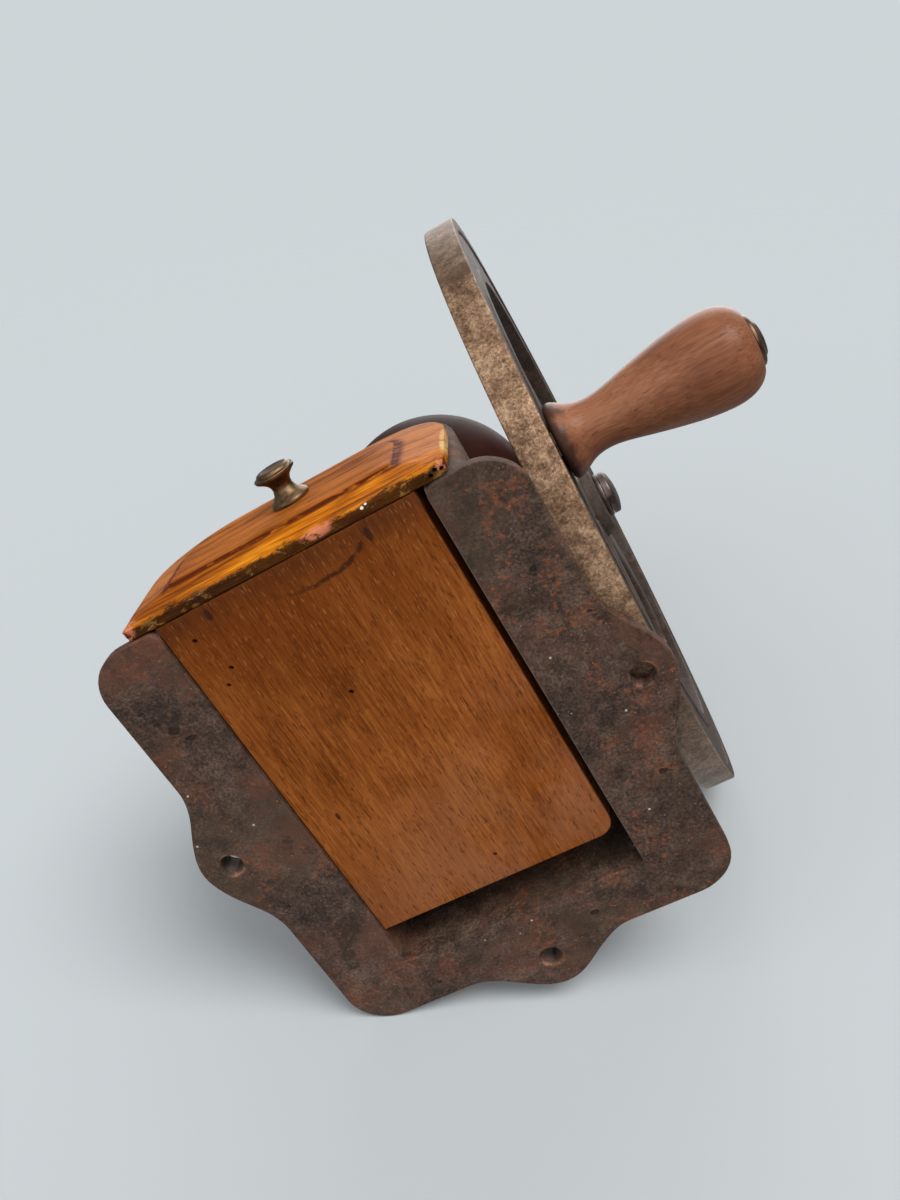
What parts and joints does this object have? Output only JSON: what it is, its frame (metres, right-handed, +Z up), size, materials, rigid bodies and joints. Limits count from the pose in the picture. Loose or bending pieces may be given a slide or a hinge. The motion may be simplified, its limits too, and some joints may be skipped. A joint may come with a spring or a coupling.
{
  "type": "manual coffee grinder",
  "caption": "Side flywheel coffee mill: cast iron base with a wooden grounds drawer, conical burrs on a horizontal shaft, turned wooden crank grip and a globe hopper with a sliding door.",
  "frame": {"origin": "centre of the whole part's box in plan, on the plane of the base's underside", "axes": "+Z up through the hopper, -Y out of the drawer front, +X along the shaft towards the flywheel and its crank"},
  "size_m": [0.2364, 0.25, 0.2828],
  "materials": {
    "cast_iron": "dark worn cast iron with rust",
    "wheel_iron": "bare speckled iron on the rim, dark paint on the faces",
    "dark_paint": "dark wine brown enamel on cast iron and sheet steel",
    "steel": "plain turned steel",
    "burr_steel": "dark hardened steel",
    "brass": "tarnished brass",
    "bronze": "dark oxidised bronze",
    "drawer_wood": "oiled bare wood with woodworm holes",
    "amber_wood": "amber varnish",
    "grip_wood": "satin reddish beech"
  },
  "bodies": {
    "frame": {"base_frame": "cast_iron", "grinder_body": "dark_paint", "burr_ring": "burr_steel", "right_bush": "bronze", "left_bush": "bronze", "cover_plate": "dark_paint", "hopper_bowl": "dark_paint", "hopper_dome": "dark_paint", "hopper_band": "dark_paint", "door_pivot": "brass", "body_screw_1": "burr_steel", "body_screw_2": "burr_steel", "body_screw_3": "burr_steel", "body_screw_4": "burr_steel", "cover_screw_1": "burr_steel", "cover_screw_2": "burr_steel", "cover_screw_3": "burr_steel", "hopper_screw_1": "burr_steel", "hopper_screw_2": "burr_steel", "hopper_screw_3": "burr_steel"},
    "wheel": {"drive_shaft": "steel", "burr_cone": "burr_steel", "burr_pin": "steel", "wheel_key": "steel", "feed_worm": "burr_steel", "thrust_spring": "steel", "flywheel": "wheel_iron", "hub_washer": "burr_steel", "hub_nut": "burr_steel", "handle_spindle": "steel", "grip_cap": "brass"},
    "grip": {"handle_grip": "grip_wood"},
    "adjuster": {"adjusting_screw": "brass"},
    "jam_nut": {"lock_nut": "burr_steel"},
    "door": {"hopper_door": "dark_paint", "door_knob": "brass"},
    "drawer": {"drawer_front": "amber_wood", "drawer_bottom": "drawer_wood", "drawer_side_left": "drawer_wood", "drawer_side_right": "drawer_wood", "drawer_back": "drawer_wood", "drawer_knob": "bronze", "knob_screw": "steel"}
  },
  "joints": [
    {"name": "flywheel_spin", "type": "hinge", "parent": "frame", "child": "wheel", "pos_m": [-0.03185, 0, 0.132], "axis": [1, 0, 0], "continuous": true},
    {"name": "grip_spin", "type": "hinge", "parent": "wheel", "child": "grip", "pos_m": [0.08315, -0.05816, 0.03746], "axis": [1, 0, 0], "continuous": true},
    {"name": "drawer_slide", "type": "slide", "parent": "frame", "child": "drawer", "axis": [0, -1, 0], "range_m": [0, 0.11]},
    {"name": "door_turn", "type": "hinge", "parent": "frame", "child": "door", "pos_m": [-0.02835, 0.005, 0.225], "axis": [0, 0, 1], "range_deg": [0, 110]},
    {"name": "adjuster_turn", "type": "hinge", "parent": "frame", "child": "adjuster", "pos_m": [-0.11185, 0, 0.132], "axis": [1, 0, 0], "range_deg": [-150, 150]},
    {"name": "lock_nut_turn", "type": "hinge", "parent": "frame", "child": "jam_nut", "pos_m": [-0.10085, 0, 0.132], "axis": [1, 0, 0], "range_deg": [-150, 150]}
  ]
}
